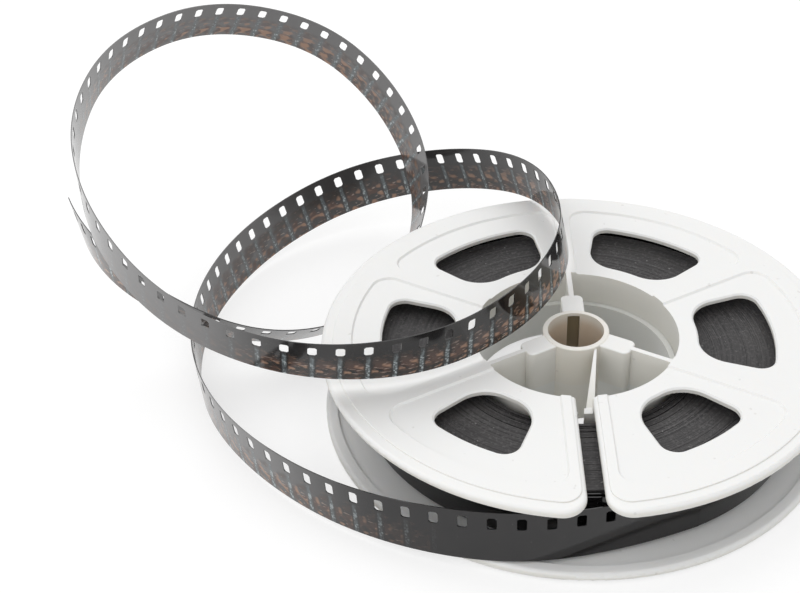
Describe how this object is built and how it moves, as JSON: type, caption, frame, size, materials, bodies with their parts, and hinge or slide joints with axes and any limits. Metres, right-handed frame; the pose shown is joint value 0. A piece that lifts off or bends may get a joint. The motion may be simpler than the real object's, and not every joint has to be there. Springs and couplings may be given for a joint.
{
  "type": "cine film reel",
  "caption": "Plastic cine film reel with windowed flanges, wound with narrow perforated film whose free end springs up in open loops.",
  "frame": {"origin": "on the spindle bore's axis, in the plane of the underside that the reel lies on", "axes": "+Z along the bore, from the plain half to the slotted half; the threading slot points near -Y and the film's free end springs out towards -X"},
  "size_m": [0.1174, 0.0937, 0.0425],
  "materials": {
    "upper_plastic": "white moulded plastic, slightly glossy",
    "lower_plastic": "white moulded plastic, slightly glossy",
    "film_edges": "edges of tightly wound film",
    "film": "developed film, glossy on its base side"
  },
  "bodies": {
    "reel": {"slotted_half": "upper_plastic", "plain_half": "lower_plastic"},
    "film": {"film_roll": "film_edges", "film_outer_turns": "film", "film_tail": "film"}
  },
  "joints": [
    {"name": "film_turn", "type": "hinge", "parent": "reel", "child": "film", "pos_m": [0, 0, 0], "axis": [0, 0, 1], "continuous": true}
  ]
}
